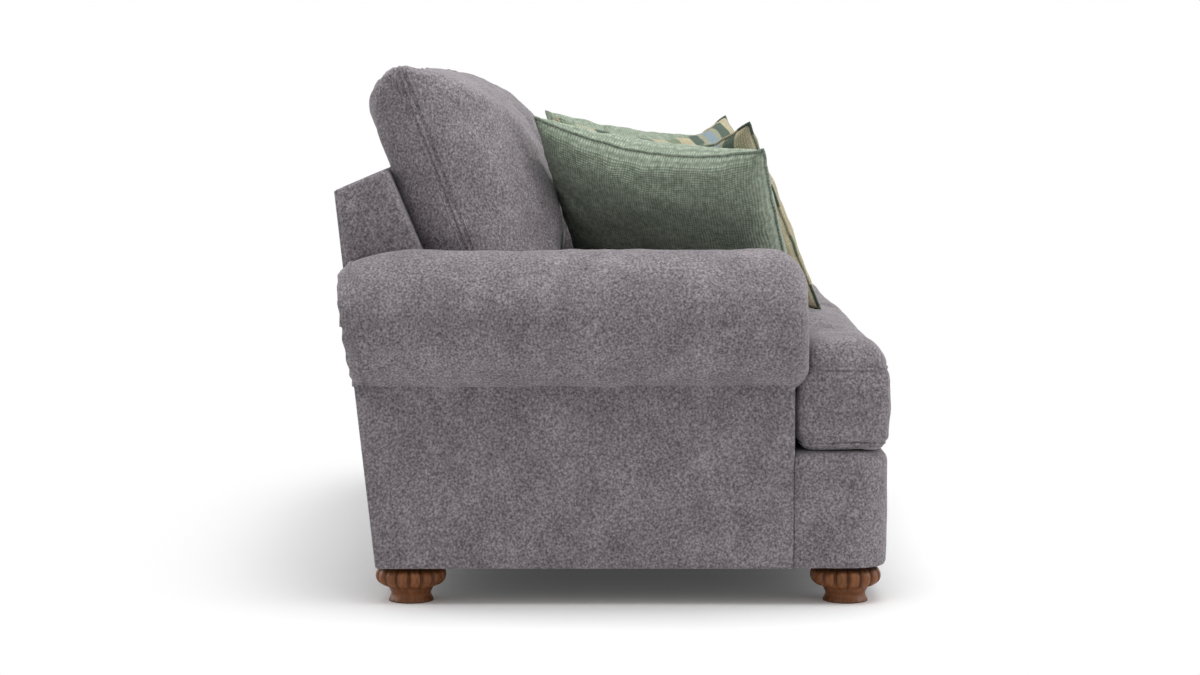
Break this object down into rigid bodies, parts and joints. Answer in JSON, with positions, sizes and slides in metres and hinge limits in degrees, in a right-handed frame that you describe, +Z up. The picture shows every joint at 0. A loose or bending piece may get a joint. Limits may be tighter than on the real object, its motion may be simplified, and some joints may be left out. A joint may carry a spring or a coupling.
{
  "type": "loveseat",
  "caption": "Upholstered loveseat with rolled arms, loose seat and back cushions, throw pillows and turned wooden bun feet.",
  "frame": {"origin": "on the floor under the middle of the loveseat", "axes": "+X to the right seen from the front, -Y to the front, +Z up"},
  "size_m": [1.7, 1.016, 0.9783],
  "materials": {
    "frame_hardwood": "planed, unfinished",
    "spring_steel": "oiled",
    "clip_plastic": "moulded",
    "webbing": "woven elastic",
    "deck_cloth": "woven",
    "dust_cloth": "non-woven",
    "foam_padding": "open cell foam",
    "cushion_fill": "fibre",
    "upholstery_suede": "brushed faux suede",
    "pillow_green": "basket weave",
    "pillow_stripe": "woven stripe",
    "stained_wood": "turned, stained, satin lacquer"
  },
  "bodies": {
    "frame": {"front_seat_rail": "frame_hardwood", "back_seat_rail": "frame_hardwood", "left_side_rail": "frame_hardwood", "right_side_rail": "frame_hardwood", "seat_stretchers": "frame_hardwood", "corner_blocks": "frame_hardwood", "left_back_post": "frame_hardwood", "right_back_post": "frame_hardwood", "back_center_post": "frame_hardwood", "back_top_rail": "frame_hardwood", "back_lower_rails": "frame_hardwood", "left_arm_front_board": "frame_hardwood", "right_arm_front_board": "frame_hardwood", "left_arm_rear_board": "frame_hardwood", "right_arm_rear_board": "frame_hardwood", "left_arm_top_rail": "frame_hardwood", "right_arm_top_rail": "frame_hardwood", "frame_screws": "spring_steel", "seat_springs": "spring_steel", "foot_bolts": "spring_steel", "foot_t_nuts": "spring_steel", "spring_clips": "clip_plastic", "back_webbing": "webbing", "seat_deck_cover": "deck_cloth", "dust_cover": "dust_cloth", "left_arm_padding": "foam_padding", "right_arm_padding": "foam_padding", "back_padding": "foam_padding", "front_rail_padding": "foam_padding", "seat_insulator": "foam_padding", "left_arm_cover": "upholstery_suede", "right_arm_cover": "upholstery_suede", "left_side_panel": "upholstery_suede", "right_side_panel": "upholstery_suede", "back_cover": "upholstery_suede", "outside_back_panel": "upholstery_suede", "front_rail_cover": "upholstery_suede", "front_left_foot": "stained_wood", "front_right_foot": "stained_wood", "rear_left_foot": "stained_wood", "rear_right_foot": "stained_wood"},
    "left_seat_cushion": {"left_seat_cushion_cover": "upholstery_suede", "left_seat_cushion_core": "cushion_fill"},
    "left_back_cushion": {"left_back_cushion_cover": "upholstery_suede", "left_back_cushion_insert": "cushion_fill"},
    "left_plain_pillow": {"left_plain_pillow_cover": "pillow_green", "left_plain_pillow_insert": "cushion_fill"},
    "left_striped_pillow": {"left_striped_pillow_cover": "pillow_stripe", "left_striped_pillow_insert": "cushion_fill"},
    "right_seat_cushion": {"right_seat_cushion_cover": "upholstery_suede", "right_seat_cushion_core": "cushion_fill"},
    "right_back_cushion": {"right_back_cushion_cover": "upholstery_suede", "right_back_cushion_insert": "cushion_fill"},
    "right_plain_pillow": {"right_plain_pillow_cover": "pillow_green", "right_plain_pillow_insert": "cushion_fill"},
    "right_striped_pillow": {"right_striped_pillow_cover": "pillow_stripe", "right_striped_pillow_insert": "cushion_fill"}
  },
  "joints": [
    {"name": "left_seat_cushion_pull", "type": "slide", "parent": "frame", "child": "left_seat_cushion", "axis": [0, -1, 0], "range_m": [0, 0.35]},
    {"name": "left_back_cushion_lift", "type": "slide", "parent": "frame", "child": "left_back_cushion", "axis": [0, 0.3535, 0.9354], "range_m": [0, 0.3]},
    {"name": "left_plain_pillow_lift", "type": "slide", "parent": "left_seat_cushion", "child": "left_plain_pillow", "axis": [0, 0, 1], "range_m": [0, 0.3]},
    {"name": "left_striped_pillow_lift", "type": "slide", "parent": "left_plain_pillow", "child": "left_striped_pillow", "axis": [0, 0, 1], "range_m": [0, 0.3]},
    {"name": "right_seat_cushion_pull", "type": "slide", "parent": "frame", "child": "right_seat_cushion", "axis": [0, -1, 0], "range_m": [0, 0.35]},
    {"name": "right_back_cushion_lift", "type": "slide", "parent": "frame", "child": "right_back_cushion", "axis": [0, 0.3535, 0.9354], "range_m": [0, 0.3]},
    {"name": "right_plain_pillow_lift", "type": "slide", "parent": "right_seat_cushion", "child": "right_plain_pillow", "axis": [0, 0, 1], "range_m": [0, 0.3]},
    {"name": "right_striped_pillow_lift", "type": "slide", "parent": "right_plain_pillow", "child": "right_striped_pillow", "axis": [0, 0, 1], "range_m": [0, 0.3]}
  ]
}
